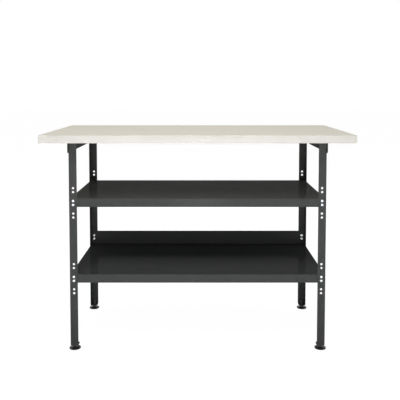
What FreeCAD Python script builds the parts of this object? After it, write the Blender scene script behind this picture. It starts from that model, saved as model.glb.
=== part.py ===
"""Assembly table: a board worktop on a bolted frame of punched angle legs, with two folded sheet-metal
shelves and four levelling feet.

Millimetres. +Z is up, the front of the table faces -Y, and the origin is on the floor under the middle.
Every driving size is a cell of the spreadsheet "Sizes", and the sketches and features are bound to it.
"""
import FreeCAD, Part
import math
import operator
import os
import Sketcher

SIZES = {
    # Worktop: a faced board with a plastic band glued to each edge.
    "worktop_width": 1200.0,
    "worktop_depth": 600.0,
    "worktop_thickness": 30.0,
    "worktop_height": 853.0,        # floor to upper face, with the feet screwed right in
    "band_thickness": 2.0,
    "band_round": 1.0,
    "side_overhang": 99.0,          # worktop's end to the outer faces of the legs
    "front_overhang": 67.5,         # the same at the front and the rear
    # Legs: equal angle, corner outwards.
    "leg_flange": 31.0,
    "leg_wall": 2.0,
    "leg_bend": 1.0,                # inside radius
    "leg_clearance": 17.0,          # floor to the leg's lower end
    "leg_toe_round": 6.0,
    # Punched holes: pairs at three heights round each shelf level.
    "hole_diameter": 9.0,
    "hole_inset": 16.5,             # outer face of the angle to the hole's axis
    "pair_pitch": 15.5,
    "level_pitch": 50.0,
    "lower_level": 284.0,
    "upper_level": 584.0,
    # Shelves: folded trays between the legs.
    "shelf_sheet": 1.0,
    "shelf_bend": 1.0,              # inside radius
    "shelf_lip": 34.0,
    "shelf_hem": 10.0,
    "shelf_upstand": 62.0,          # height of the lower shelf's rear wall over its surface
    "shelf_gap": 0.15,              # between a lip and a leg
    "shelf_relief": 0.5,            # from the end of a bend to the corner notch
    "mitre_gap": 0.8,
    "upstand_round": 4.0,
    # Stiffener: a hat section spot-welded under each shelf.
    "hat_crown": 40.0,
    "hat_depth": 20.0,
    "hat_brim": 14.0,
    "hat_sheet": 1.0,
    "hat_bend": 1.0,                # inside radius
    "hat_end_gap": 6.0,             # to the hems of the side lips
    # Side rails: unequal angle, outside the legs and under the worktop.
    "rail_height": 44.0,
    "rail_flange": 40.0,
    "rail_wall": 2.0,
    "rail_bend": 1.0,               # inside radius
    "rail_overrun": 10.0,           # past the outer faces of the legs
    "rail_corner_round": 8.0,
    # Frame fasteners: button-head bolts with plain hexagon nuts.
    "bolt_diameter": 6.0,
    "bolt_length": 12.0,
    "bolt_head_diameter": 10.5,
    "bolt_head_height": 3.3,
    "bolt_hole_gap": 0.3,           # radial, in the shelf lips and the rails
    "nut_flats": 10.0,
    "nut_thickness": 5.0,
    "thread_gap": 0.05,             # radial, between a thread and what it is screwed into
    # Worktop screws, up through the rails.
    "screw_diameter": 4.5,
    "screw_length": 24.0,
    "screw_head_diameter": 9.0,
    "screw_head_height": 2.5,
    "screw_hole_gap": 0.4,          # radial, in the rails
    "screw_pilot_extra": 1.0,       # depth of the pilot hole beyond the screw
    "screw_pitch": 190.0,
    "screw_inset": 22.0,            # rail's outer face to the line of screws
    # Levelling feet.
    "foot_inset": 15.0,             # outer faces of the leg to the stud's axis
    "foot_plate_thickness": 3.0,
    "foot_plate_corner": 8.0,
    "foot_plate_heel": 1.6,         # clears the inside radius of the leg
    "foot_nut_flats": 17.0,
    "foot_nut_thickness": 5.0,
    "foot_gap": 0.3,                # between the faces of the pad, the stud, the nut and the plate
    "stud_diameter": 10.0,
    "stud_top": 36.5,               # floor to the upper end of the stud
    "stud_bevel": 1.0,
    "stud_collar_flats": 14.0,
    "stud_head_diameter": 15.0,
    "stud_head_height": 3.0,
    "pad_diameter": 45.0,
    "pad_rim": 3.0,
    "pad_top": 8.5,                 # floor to the top of the hub
    "pad_hub_diameter": 18.0,
    "pad_hub_height": 1.5,
    "sole_diameter": 39.0,
    "sole_thickness": 2.0,
    "sole_stand_out": 1.0,          # below the rim of the pad
    "sole_gap": 0.1,                # radial, in the pad's recess
}

V = FreeCAD.Vector
TOLERANCE = 1e-4
HEXAGON_SIDES = 6
SHANK_SIDES = 12                    # sides that stand for the round of a small fastener


class Size:
    """A length that knows its value and the spreadsheet expression that gives it."""

    def __init__(self, value, text):
        self.value = value
        self.text = text

    def _join(self, sign, work, other):
        other = other if isinstance(other, Size) else Size(float(other), repr(float(other)))
        return Size(work(self.value, other.value), f"({self.text} {sign} {other.text})")

    def __add__(self, other):
        return self._join("+", operator.add, other)

    def __sub__(self, other):
        return self._join("-", operator.sub, other)

    def __mul__(self, other):
        return self._join("*", operator.mul, other)

    def __truediv__(self, other):
        return self._join("/", operator.truediv, other)

    def __neg__(self):
        return self * -1


doc = FreeCAD.newDocument("AssemblyTable")


def make_sheet():
    """Fill the spreadsheet and return each size under its alias."""
    sheet = doc.addObject("Spreadsheet::Sheet", "Sizes")
    named = {}
    for row, (alias, value) in enumerate(SIZES.items(), start=1):
        sheet.set(f"A{row}", alias)
        sheet.set(f"B{row}", repr(value))
        sheet.setAlias(f"B{row}", alias)
        named[alias] = Size(value, f"Sizes.{alias}")
    doc.recompute()
    return named


size = make_sheet()

# ---------------------------------------------------------------------------------------------------------
# Places and sizes worked out from the driving ones.

half_width = size["worktop_width"] / 2 - size["side_overhang"]
half_depth = size["worktop_depth"] / 2 - size["front_overhang"]
board_bottom = size["worktop_height"] - size["worktop_thickness"]
rail_underside = board_bottom - size["rail_wall"]
leg_top = rail_underside - size["rail_bend"]
bolt_x = half_width - size["hole_inset"]
bolt_y = half_depth - size["hole_inset"]
half_pair = size["pair_pitch"] / 2
rail_level = board_bottom - size["rail_height"] / 2
upstand_level = size["lower_level"] + size["level_pitch"]
bolt_radius = size["bolt_diameter"] / 2
bolt_hole_radius = bolt_radius + size["bolt_hole_gap"]
tray_half_width = half_width - size["leg_wall"] - size["shelf_gap"]
tray_half_depth = half_depth - size["leg_wall"] - size["shelf_gap"]
rail_outer = half_width + size["rail_wall"]
rail_half_length = half_depth + size["rail_overrun"]
screw_x = rail_outer - size["screw_inset"]
screw_radius = size["screw_diameter"] / 2
foot_nut_bottom = size["leg_clearance"] - size["foot_nut_thickness"]
stud_radius = size["stud_diameter"] / 2
thread_bore = stud_radius + size["thread_gap"]
collar_bottom = size["pad_top"] + size["foot_gap"]
collar_top = foot_nut_bottom - size["foot_gap"]
stud_head_bottom = size["sole_thickness"] + size["foot_gap"]
stud_head_top = stud_head_bottom + size["stud_head_height"]
stud_head_radius = size["stud_head_diameter"] / 2

LEVELS = {"lower": size["lower_level"], "upper": size["upper_level"]}
SIDES = {"left": -1, "right": 1}
ENDS = {"front": -1, "rear": 1}
CORNERS = {f"{end}_{side}": (SIDES[side], ENDS[end]) for end in ENDS for side in SIDES}
SCREW_ROWS = {"front": size["screw_pitch"] * -1, "middle": 0, "rear": size["screw_pitch"]}

# ---------------------------------------------------------------------------------------------------------
# Modelling steps shared by the pieces.

bodies = []


def new_body(name):
    """A body whose label names the piece and its file."""
    body = doc.addObject("PartDesign::Body", name)
    body.Label = name
    body.AllowCompound = True
    bodies.append(body)
    return body


def origin(body, role):
    """One of the body's own origin planes or axes."""
    return next(item for item in body.Origin.OriginFeatures if item.Role == role)


def new_sketch(body, name, role, at=(0, 0, 0)):
    """A sketch on an origin plane, its own origin moved along its two axes and its normal."""
    sketch = body.newObject("Sketcher::SketchObject", f"{body.Name}_{name}")
    sketch.AttachmentSupport = [(origin(body, role), "")]
    sketch.MapMode = "FlatFace"
    for axis, place in zip("xyz", at):
        if isinstance(place, Size):
            sketch.setExpression(f"AttachmentOffset.Base.{axis}", place.text)
    return sketch


def number(place):
    """The plain number of a size, or of a bare 0."""
    return place.value if isinstance(place, Size) else float(place)


def pin(sketch, element, point, x, y):
    """Dimension one point of a sketch from its origin; a bare 0 puts the point on the axis."""
    for kind, place, axis in (("DistanceX", x, -2), ("DistanceY", y, -1)):
        if not isinstance(place, Size):
            sketch.addConstraint(Sketcher.Constraint("PointOnObject", element, point, axis))
            continue
        index = sketch.addConstraint(Sketcher.Constraint(kind, -1, 1, element, point, place.value))
        sketch.setExpression(f"Constraints[{index}]", place.text)


def polygon(sketch, points):
    """A closed outline with every corner dimensioned."""
    first = sketch.GeometryCount
    corners = [V(number(x), number(y), 0) for x, y in points]
    for start, end in zip(corners, corners[1:] + corners[:1]):
        sketch.addGeometry(Part.LineSegment(start, end), False)
    for step, (x, y) in enumerate(points):
        following = (step + 1) % len(points)
        sketch.addConstraint(Sketcher.Constraint("Coincident", first + step, 2, first + following, 1))
        pin(sketch, first + step, 1, x, y)


def circle(sketch, x, y, radius):
    """A dimensioned circle."""
    shape = Part.Circle(V(number(x), number(y), 0), V(0, 0, 1), radius.value)
    index = sketch.addGeometry(shape, False)
    pin(sketch, index, 3, x, y)
    constraint = sketch.addConstraint(Sketcher.Constraint("Radius", index, radius.value))
    sketch.setExpression(f"Constraints[{constraint}]", radius.text)


def even_sided(sketch, sides, reach):
    """An even-sided outline round the sketch's origin, two sides upright and its corners at the reach."""
    half_step = math.pi / sides
    angles = [half_step * (2 * step + 1) for step in range(sides)]
    corners = [(math.cos(angle), math.sin(angle)) for angle in angles]
    polygon(sketch, [
        tuple(reach * share if abs(share) > TOLERANCE else 0 for share in corner) for corner in corners
    ])


def hexagon(sketch, flats):
    """A hexagon round the sketch's origin, given across its flats."""
    even_sided(sketch, HEXAGON_SIDES, flats / 2 / math.cos(math.pi / HEXAGON_SIDES))


def mirrored(points):
    """Points of a section on the other side of its upright axis, in the order that carries on from them."""
    return [(-x, y) for x, y in reversed(points)]


def finish(feature, body):
    """Make a feature the body's tip, recompute it and stop if it failed."""
    body.Tip = feature
    doc.recompute()
    if "Invalid" in feature.State or "Error" in feature.State or feature.Shape.isNull():
        raise RuntimeError(f"{feature.Name} failed: {feature.State}")
    return feature


def pad(body, sketch, length, reverse=False, both_ways=False):
    """Extrude a sketch along its normal."""
    feature = body.newObject("PartDesign::Pad", f"{sketch.Name}_pad")
    feature.Profile = sketch
    feature.SideType = "Symmetric" if both_ways else "One side"
    feature.Reversed = reverse
    feature.setExpression("Length", length.text)
    return finish(feature, body)


def pocket(body, sketch, length, reverse=False, both_ways=False):
    """Cut a sketch out of the body, against its normal unless reversed, and check that it cut."""
    before = body.Tip.Shape.Volume
    feature = body.newObject("PartDesign::Pocket", f"{sketch.Name}_pocket")
    feature.Profile = sketch
    feature.SideType = "Symmetric" if both_ways else "One side"
    feature.Reversed = reverse
    feature.setExpression("Length", length.text)
    finish(feature, body)
    if feature.Shape.Volume > before - TOLERANCE:
        raise RuntimeError(f"{feature.Name} cut nothing")
    return feature


def turn(body, sketch):
    """Turn a sketch once round its own upright axis."""
    feature = body.newObject("PartDesign::Revolution", f"{sketch.Name}_turned")
    feature.Profile = sketch
    feature.ReferenceAxis = (sketch, ["V_Axis"])
    feature.Angle = 360.0
    return finish(feature, body)


def repeat_pair(body):
    """Repeat the whole body once, a pair's pitch higher."""
    feature = body.newObject("PartDesign::LinearPattern", f"{body.Name}_pair")
    feature.TransformMode = "Whole shape"
    feature.Direction = (origin(body, "Z_Axis"), [""])
    feature.Occurrences = 2
    feature.setExpression("Length", size["pair_pitch"].text)
    return finish(feature, body)


def mirror(body, role):
    """Add the mirror image of the whole body across an origin plane."""
    feature = body.newObject("PartDesign::Mirrored", f"{body.Name}_mirror_{role}")
    feature.TransformMode = "Whole shape"
    feature.MirrorPlane = (origin(body, role), [""])
    return finish(feature, body)


def edges_at(body, direction, **place):
    """Names of the body's straight edges along a direction whose middle has the given coordinates."""
    found = []
    for index, edge in enumerate(body.Tip.Shape.Edges, start=1):
        if not isinstance(edge.Curve, Part.Line):
            continue
        if abs(getattr(edge.tangentAt(edge.FirstParameter), direction)) < 1 - TOLERANCE:
            continue
        middle = edge.valueAt((edge.FirstParameter + edge.LastParameter) / 2)
        if all(abs(getattr(middle, axis) - at.value) < TOLERANCE for axis, at in place.items()):
            found.append(f"Edge{index}")
    if not found:
        raise RuntimeError(f"{body.Name} has no edge along {direction} there")
    return found


def dress(body, kind, width, edge_groups):
    """Round (Fillet) or bevel (Chamfer) groups of the body's edges."""
    base = body.Tip
    feature = body.newObject(f"PartDesign::{kind}", f"{base.Name}_edges")
    feature.Base = (base, [edge for group in edge_groups for edge in group])
    feature.setExpression("Radius" if kind == "Fillet" else "Size", width.text)
    return finish(feature, body)


def fold(body, axis, inner, outer, radius, sheet):
    """Bend radii for the folds along an axis, each given as a corner of the section across that axis."""
    across = [other for other in "xyz" if other != axis]
    for places, bend in ((inner, radius), (outer, radius + sheet)):
        groups = [edges_at(body, axis, **dict(zip(across, place))) for place in places]
        dress(body, "Fillet", bend, groups)


def pair_circles(sketch, x, level, radius):
    """The two holes of a pair, one over the other."""
    circle(sketch, x, level - half_pair, radius)
    circle(sketch, x, level + half_pair, radius)


# ---------------------------------------------------------------------------------------------------------
# Worktop.

def make_worktop_board():
    """The faced board, with pilot holes for the rails' screws in its underside."""
    body = new_body("worktop_board")
    x = size["worktop_width"] / 2 - size["band_thickness"]
    y = size["worktop_depth"] / 2 - size["band_thickness"]
    outline = new_sketch(body, "outline", "XY_Plane", (0, 0, board_bottom))
    polygon(outline, [(-x, -y), (x, -y), (x, y), (-x, y)])
    pad(body, outline, size["worktop_thickness"])
    pilots = new_sketch(body, "pilots", "XY_Plane", (0, 0, board_bottom))
    for side in SIDES.values():
        for row in SCREW_ROWS.values():
            circle(pilots, screw_x * side, row, screw_radius + size["thread_gap"])
    depth = size["screw_length"] - size["rail_wall"] + size["screw_pilot_extra"]
    pocket(body, pilots, depth, reverse=True)


def make_edge_band(name, outline_points, axis, **outer_face):
    """A band with its two long outer edges rounded."""
    body = new_body(f"edge_band_{name}")
    outline = new_sketch(body, "outline", "XY_Plane", (0, 0, board_bottom))
    polygon(outline, outline_points)
    pad(body, outline, size["worktop_thickness"])
    edges = [edges_at(body, axis, z=z, **outer_face) for z in (board_bottom, size["worktop_height"])]
    dress(body, "Fillet", size["band_round"], edges)


def make_edge_bands():
    """Four bands; the front and rear ones cover the ends of the side ones."""
    x = size["worktop_width"] / 2
    y = size["worktop_depth"] / 2
    x_inner = x - size["band_thickness"]
    y_inner = y - size["band_thickness"]
    for end, sign in ENDS.items():
        outline = [(-x, y * sign), (x, y * sign), (x, y_inner * sign), (-x, y_inner * sign)]
        make_edge_band(end, outline, "x", y=y * sign)
    for side, sign in SIDES.items():
        outline = [
            (x * sign, -y_inner), (x * sign, y_inner), (x_inner * sign, y_inner), (x_inner * sign, -y_inner),
        ]
        make_edge_band(side, outline, "y", x=x * sign)


# ---------------------------------------------------------------------------------------------------------
# Legs and rails.

def make_leg(corner, side, end):
    """An angle-steel leg: hole pairs in both flanges, and one more pair for the rail in the side flange."""
    body = new_body(f"leg_{corner}")
    wall = size["leg_wall"]
    bottom = size["leg_clearance"]
    x_outer, y_outer = half_width * side, half_depth * end
    x_inner, y_inner = (half_width - wall) * side, (half_depth - wall) * end
    x_toe, y_toe = (half_width - size["leg_flange"]) * side, (half_depth - size["leg_flange"]) * end
    section = new_sketch(body, "section", "XY_Plane", (0, 0, bottom))
    polygon(section, [
        (x_outer, y_outer), (x_toe, y_outer), (x_toe, y_inner),
        (x_inner, y_inner), (x_inner, y_toe), (x_outer, y_toe),
    ])
    pad(body, section, leg_top - bottom)
    toes = [edges_at(body, "y", x=x_toe, z=bottom), edges_at(body, "x", y=y_toe, z=bottom)]
    dress(body, "Fillet", size["leg_toe_round"], toes)
    fold(body, "z", [(x_inner, y_inner)], [(x_outer, y_outer)], size["leg_bend"], wall)

    hole = size["hole_diameter"] / 2
    heights = [level + size["level_pitch"] * step for level in LEVELS.values() for step in (-1, 0, 1)]
    side_holes = new_sketch(body, "side_holes", "YZ_Plane", (0, 0, x_outer))
    for level in heights + [rail_level]:
        pair_circles(side_holes, bolt_y * end, level, hole)
    pocket(body, side_holes, wall, reverse=side < 0)
    end_holes = new_sketch(body, "end_holes", "XZ_Plane", (0, 0, -y_outer))
    for level in heights:
        pair_circles(end_holes, bolt_x * side, level, hole)
    pocket(body, end_holes, wall, reverse=end > 0)


def make_rail(name, side):
    """An angle rail: its upright flange outside the legs, its level flange under the worktop."""
    body = new_body(f"rail_{name}")
    wall = size["rail_wall"]
    bottom = board_bottom - size["rail_height"]
    x_outer, x_inner = rail_outer * side, half_width * side
    x_toe = (rail_outer - size["rail_flange"]) * side
    section = new_sketch(body, "section", "XZ_Plane")
    polygon(section, [
        (x_outer, board_bottom), (x_toe, board_bottom), (x_toe, rail_underside),
        (x_inner, rail_underside), (x_inner, bottom), (x_outer, bottom),
    ])
    pad(body, section, rail_half_length * 2, both_ways=True)
    corners = []
    for end in ENDS.values():
        corners.append(edges_at(body, "x", y=rail_half_length * end, z=bottom))
        corners.append(edges_at(body, "z", x=x_toe, y=rail_half_length * end))
    dress(body, "Fillet", size["rail_corner_round"], corners)
    fold(body, "y", [(x_inner, rail_underside)], [(x_outer, board_bottom)], size["rail_bend"], wall)

    bolt_holes = new_sketch(body, "bolt_holes", "YZ_Plane", (0, 0, x_outer))
    for end in ENDS.values():
        pair_circles(bolt_holes, bolt_y * end, rail_level, bolt_hole_radius)
    pocket(body, bolt_holes, wall, reverse=side < 0)
    screw_holes = new_sketch(body, "screw_holes", "XY_Plane", (0, 0, board_bottom))
    for row in SCREW_ROWS.values():
        circle(screw_holes, screw_x * side, row, screw_radius + size["screw_hole_gap"])
    pocket(body, screw_holes, wall)


# ---------------------------------------------------------------------------------------------------------
# Shelves: each is folded from one sheet, with hemmed lips, mitred hems and open corners.

def make_shelf(name, level, with_upstand):
    """Half a tray, from its middle to its left side, then its mirror image."""
    body = new_body(name)
    sheet, bend, hem = size["shelf_sheet"], size["shelf_bend"], size["shelf_hem"]
    x, y = tray_half_width, tray_half_depth
    top = level + size["shelf_lip"] / 2
    bottom = top - size["shelf_lip"]
    notch = bend + sheet + size["shelf_relief"]

    # Front lip, surface and rear lip or wall: one section, carried from the middle to the corner notch.
    lip = [
        (y, top), (y, bottom), (y - hem, bottom), (y - hem, bottom + sheet),
        (y - sheet, bottom + sheet), (y - sheet, top - sheet),
    ]
    inner = [(y - sheet, top - sheet), (y - sheet, bottom + sheet)]
    outer = [(y, top), (y, bottom)]
    wall_top = top + size["shelf_upstand"]
    wall = [(y - sheet, top), (y - sheet, wall_top), (y, wall_top), (y, top - sheet)]
    section = new_sketch(body, "section", "YZ_Plane")
    polygon(section, mirrored(lip) + (wall if with_upstand else lip))
    pad(body, section, x - notch, reverse=True)
    rear_inner = [(y - sheet, top)] if with_upstand else inner
    rear_outer = [(y, top - sheet)] if with_upstand else outer
    fold(body, "x", mirrored(inner) + rear_inner, mirrored(outer) + rear_outer, bend, sheet)

    # Side lip.
    side_section = new_sketch(body, "side_section", "XZ_Plane")
    polygon(side_section, [
        (-x, top), (notch - x, top), (notch - x, top - sheet), (sheet - x, top - sheet),
        (sheet - x, bottom + sheet), (hem - x, bottom + sheet), (hem - x, bottom), (-x, bottom),
    ])
    pad(body, side_section, (y - notch) * 2, both_ways=True)
    side_inner = [(sheet - x, top - sheet), (sheet - x, bottom + sheet)]
    fold(body, "y", side_inner, [(-x, top), (-x, bottom)], bend, sheet)

    # Slots that part the hems along their mitres.
    mitres = new_sketch(body, "mitres", "XY_Plane", (0, 0, bottom))
    gap = size["mitre_gap"] / 2
    for end in ((-1,) if with_upstand else (-1, 1)):
        polygon(mitres, [
            (-x, (y - gap) * end), (hem - x, (y - gap - hem) * end),
            (hem - x, (y + gap - hem) * end), (-x, (y + gap) * end),
        ])
    pocket(body, mitres, sheet + bend, reverse=True)
    if with_upstand:
        dress(body, "Fillet", size["upstand_round"], [edges_at(body, "y", x=notch - x, z=wall_top)])

    # Bolt holes.
    end_holes = new_sketch(body, "end_holes", "XZ_Plane")
    pair_circles(end_holes, -bolt_x, level, bolt_hole_radius)
    if with_upstand:
        pair_circles(end_holes, -bolt_x, upstand_level, bolt_hole_radius)
    pocket(body, end_holes, half_depth * 2, both_ways=True)
    side_holes = new_sketch(body, "side_holes", "YZ_Plane", (0, 0, -x))
    for end in ENDS.values():
        pair_circles(side_holes, bolt_y * end, level, bolt_hole_radius)
    pocket(body, side_holes, sheet, reverse=True)
    mirror(body, "YZ_Plane")


def make_stiffener(name, level):
    """A hat section along the middle of the shelf's underside."""
    body = new_body(name)
    sheet = size["hat_sheet"]
    crown = size["hat_crown"] / 2
    brim = crown + size["hat_brim"]
    under = level + size["shelf_lip"] / 2 - size["shelf_sheet"]
    low = under - size["hat_depth"]
    outside = [(brim, under), (brim, under - sheet), (crown, under - sheet), (crown, low)]
    inside = [(crown - sheet, low + sheet), (crown - sheet, under)]
    section = new_sketch(body, "section", "YZ_Plane")
    polygon(section, outside + mirrored(outside) + mirrored(inside) + inside)
    length = (tray_half_width - size["shelf_hem"] - size["hat_end_gap"]) * 2
    pad(body, section, length, both_ways=True)
    concave = [(crown, under - sheet), (crown - sheet, low + sheet)]
    convex = [(crown - sheet, under), (crown, low)]
    fold(body, "x", concave + mirrored(concave), convex + mirrored(convex), size["hat_bend"], sheet)


# ---------------------------------------------------------------------------------------------------------
# Fasteners.

SKETCH_PLANES = {"x": ("YZ_Plane", 1), "y": ("XZ_Plane", -1), "z": ("XY_Plane", 1)}


def fastener_sketch(body, name, axis, seat, across, up):
    """A sketch square to an axis, at the seat along it, and the way its normal points on that axis."""
    role, sign = SKETCH_PLANES[axis]
    return new_sketch(body, name, role, (across, up, seat * sign)), sign


def add_headed(body, name, kind, place, inward):
    """A head that bears on the face at the place's seat, and a shank from there inward along the axis."""
    head, sign = fastener_sketch(body, f"{name}_head", *place)
    even_sided(head, SHANK_SIDES, size[f"{kind}_head_diameter"] / 2)
    pad(body, head, size[f"{kind}_head_height"], reverse=sign == inward)
    shank, sign = fastener_sketch(body, f"{name}_shank", *place)
    even_sided(shank, SHANK_SIDES, size[f"{kind}_diameter"] / 2)
    pad(body, shank, size[f"{kind}_length"], reverse=sign != inward)


def add_nut(body, name, place, inward):
    """One hexagon nut: it bears on the face at the place's seat and lies inward of it."""
    sketch, sign = fastener_sketch(body, name, *place)
    hexagon(sketch, size["nut_flats"])
    even_sided(sketch, SHANK_SIDES, bolt_radius + size["thread_gap"])
    pad(body, sketch, size["nut_thickness"], reverse=sign != inward)


def make_shelf_fasteners(shelf, level, rear_level):
    """Bolts from outside the legs and nuts inside the lips: the lower one of each pair, then the pairs."""
    bolts = new_body(f"{shelf}_shelf_bolts")
    nuts = new_body(f"{shelf}_shelf_nuts")
    nut_x = tray_half_width - size["shelf_sheet"]
    nut_y = tray_half_depth - size["shelf_sheet"]
    side_height = level - half_pair
    for end, sign in ENDS.items():
        end_height = (level if end == "front" else rear_level) - half_pair
        add_headed(bolts, end, "bolt", ("y", half_depth * sign, -bolt_x, end_height), -sign)
        add_nut(nuts, end, ("y", nut_y * sign, -bolt_x, end_height), -sign)
        add_headed(bolts, f"side_{end}", "bolt", ("x", -half_width, bolt_y * sign, side_height), 1)
        add_nut(nuts, f"side_{end}", ("x", -nut_x, bolt_y * sign, side_height), 1)
    for body in (bolts, nuts):
        repeat_pair(body)
        mirror(body, "YZ_Plane")


def make_rail_fasteners():
    """Bolts from outside the rails and nuts inside the legs."""
    bolts = new_body("rail_bolts")
    nuts = new_body("rail_nuts")
    height = rail_level - half_pair
    add_headed(bolts, "front", "bolt", ("x", -rail_outer, -bolt_y, height), 1)
    add_nut(nuts, "front", ("x", size["leg_wall"] - half_width, -bolt_y, height), 1)
    for body in (bolts, nuts):
        repeat_pair(body)
        mirror(body, "XZ_Plane")
        mirror(body, "YZ_Plane")


def make_worktop_screws():
    """Pan-head screws from under the rails into the board."""
    body = new_body("worktop_screws")
    for name, row in SCREW_ROWS.items():
        add_headed(body, name, "screw", ("z", rail_underside, -screw_x, row), 1)
    mirror(body, "YZ_Plane")


# ---------------------------------------------------------------------------------------------------------
# Levelling feet: a plate and a nut welded to the leg, a stud screwed into the nut, and a pad that the stud's
# head turns in, closed below by a rubber sole.

def foot_sketch(body, name, corner, role, height=0):
    """A sketch whose origin lies on the stud's axis at a height."""
    side, end = CORNERS[corner]
    x, y = (half_width - size["foot_inset"]) * side, (half_depth - size["foot_inset"]) * end
    place = (x, y, height) if role == "XY_Plane" else (x, height, -y)
    return new_sketch(body, name, role, place)


def make_foot_plate(corner, side, end):
    """A plate let into the lower end of the leg, flush with the toes of its flanges."""
    body = new_body(f"foot_plate_{corner}")
    heel = size["foot_inset"] - size["leg_wall"]
    toe = size["foot_inset"] - size["leg_flange"]
    outline = foot_sketch(body, "outline", corner, "XY_Plane", size["leg_clearance"])
    polygon(outline, [
        (heel * side, heel * end), (toe * side, heel * end),
        (toe * side, toe * end), (heel * side, toe * end),
    ])
    circle(outline, 0, 0, stud_radius + size["foot_gap"])
    pad(body, outline, size["foot_plate_thickness"])
    x, y = (half_width - size["foot_inset"]) * side, (half_depth - size["foot_inset"]) * end
    for radius, reach in ((size["foot_plate_heel"], heel), (size["foot_plate_corner"], toe)):
        dress(body, "Fillet", radius, [edges_at(body, "z", x=x + reach * side, y=y + reach * end)])


def make_foot_nut(corner):
    """A thick nut welded under the plate."""
    body = new_body(f"foot_nut_{corner}")
    outline = foot_sketch(body, "outline", corner, "XY_Plane", foot_nut_bottom)
    hexagon(outline, size["foot_nut_flats"])
    circle(outline, 0, 0, thread_bore)
    pad(body, outline, size["foot_nut_thickness"])


def make_foot_stud(corner):
    """The levelling stud, with the round head that the pad holds and the hexagon collar that turns it."""
    body = new_body(f"foot_stud_{corner}")
    profile = foot_sketch(body, "profile", corner, "XZ_Plane")
    polygon(profile, [
        (0, stud_head_bottom),
        (stud_head_radius, stud_head_bottom),
        (stud_head_radius, stud_head_top),
        (stud_radius, stud_head_top),
        (stud_radius, size["stud_top"] - size["stud_bevel"]),
        (stud_radius - size["stud_bevel"], size["stud_top"]),
        (0, size["stud_top"]),
    ])
    turn(body, profile)
    collar = foot_sketch(body, "collar", corner, "XY_Plane", collar_bottom)
    hexagon(collar, size["stud_collar_flats"])
    pad(body, collar, collar_top - collar_bottom)


def make_foot_pad(corner):
    """A moulded pad: a sloping crown, a hub with a bore and a chamber for the stud's head."""
    body = new_body(f"foot_pad_{corner}")
    outer = size["pad_diameter"] / 2
    hub = size["pad_hub_diameter"] / 2
    recess = size["sole_diameter"] / 2 + size["sole_gap"]
    chamber = stud_head_radius + size["foot_gap"]
    rim_top = size["sole_stand_out"] + size["pad_rim"]
    profile = foot_sketch(body, "profile", corner, "XZ_Plane")
    polygon(profile, [
        (thread_bore, size["pad_top"]),
        (hub, size["pad_top"]),
        (hub, size["pad_top"] - size["pad_hub_height"]),
        (outer, rim_top),
        (outer, size["sole_stand_out"]),
        (recess, size["sole_stand_out"]),
        (recess, size["sole_thickness"]),
        (chamber, size["sole_thickness"]),
        (chamber, stud_head_top + size["foot_gap"]),
        (thread_bore, stud_head_top + size["foot_gap"]),
    ])
    turn(body, profile)


def make_foot_sole(corner):
    """A rubber disc pressed into the underside of the pad."""
    body = new_body(f"foot_sole_{corner}")
    outline = foot_sketch(body, "outline", corner, "XY_Plane")
    circle(outline, 0, 0, size["sole_diameter"] / 2)
    pad(body, outline, size["sole_thickness"])


# ---------------------------------------------------------------------------------------------------------

def make_table():
    """Every piece, from the worktop down."""
    make_worktop_board()
    make_edge_bands()
    make_worktop_screws()
    for name, side in SIDES.items():
        make_rail(name, side)
    make_rail_fasteners()
    for corner, (side, end) in CORNERS.items():
        make_leg(corner, side, end)
        make_foot_plate(corner, side, end)
        make_foot_nut(corner)
        make_foot_stud(corner)
        make_foot_pad(corner)
        make_foot_sole(corner)
    for name, level in LEVELS.items():
        with_upstand = name == "lower"
        make_shelf(f"{name}_shelf", level, with_upstand)
        make_stiffener(f"{name}_shelf_stiffener", level)
        make_shelf_fasteners(name, level, upstand_level if with_upstand else level)


def export():
    """Check every object and every piece, then write one STEP file for each piece."""
    doc.recompute()
    failed = [item.Name for item in doc.Objects if "Invalid" in item.State or "Error" in item.State]
    failed += [body.Name for body in bodies if body.Shape.isNull() or not body.Shape.isValid()]
    if failed:
        raise RuntimeError(f"these failed: {failed}")
    os.makedirs("parts", exist_ok=True)
    for body in bodies:
        body.Shape.exportStep(os.path.join("parts", f"{body.Label}.step"))


make_table()
export()
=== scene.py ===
import math
import bmesh
import bpy
from bpy.props import FloatProperty, FloatVectorProperty, PointerProperty
from mathutils import Matrix, Vector


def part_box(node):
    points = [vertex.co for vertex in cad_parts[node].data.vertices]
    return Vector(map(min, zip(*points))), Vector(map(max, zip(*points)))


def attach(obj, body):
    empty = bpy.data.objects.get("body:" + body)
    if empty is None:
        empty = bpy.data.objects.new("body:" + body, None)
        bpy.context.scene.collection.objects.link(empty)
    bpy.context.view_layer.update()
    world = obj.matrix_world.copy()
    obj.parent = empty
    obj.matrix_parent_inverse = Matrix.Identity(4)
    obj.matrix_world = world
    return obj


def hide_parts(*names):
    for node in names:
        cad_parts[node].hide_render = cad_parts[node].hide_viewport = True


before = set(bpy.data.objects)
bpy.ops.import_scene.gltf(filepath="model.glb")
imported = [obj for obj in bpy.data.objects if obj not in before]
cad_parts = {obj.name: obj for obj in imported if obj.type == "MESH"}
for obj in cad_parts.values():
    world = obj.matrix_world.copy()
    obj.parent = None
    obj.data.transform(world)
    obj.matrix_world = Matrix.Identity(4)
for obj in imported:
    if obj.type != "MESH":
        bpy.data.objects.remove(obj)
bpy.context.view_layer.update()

bl_info = {
    "name": "Assembly Table",
    "version": (1, 0, 0),
    "blender": (4, 5, 0),
    "location": "3D View > Sidebar > Table",
    "description": "Finishes, fasteners, feet and studio for an assembly table",
    "category": "Object",
}

# --------------------------------------------------------------------------------------------
# Places on the frame, in metres, taken from the solids' boxes where a box gives them.

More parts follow.
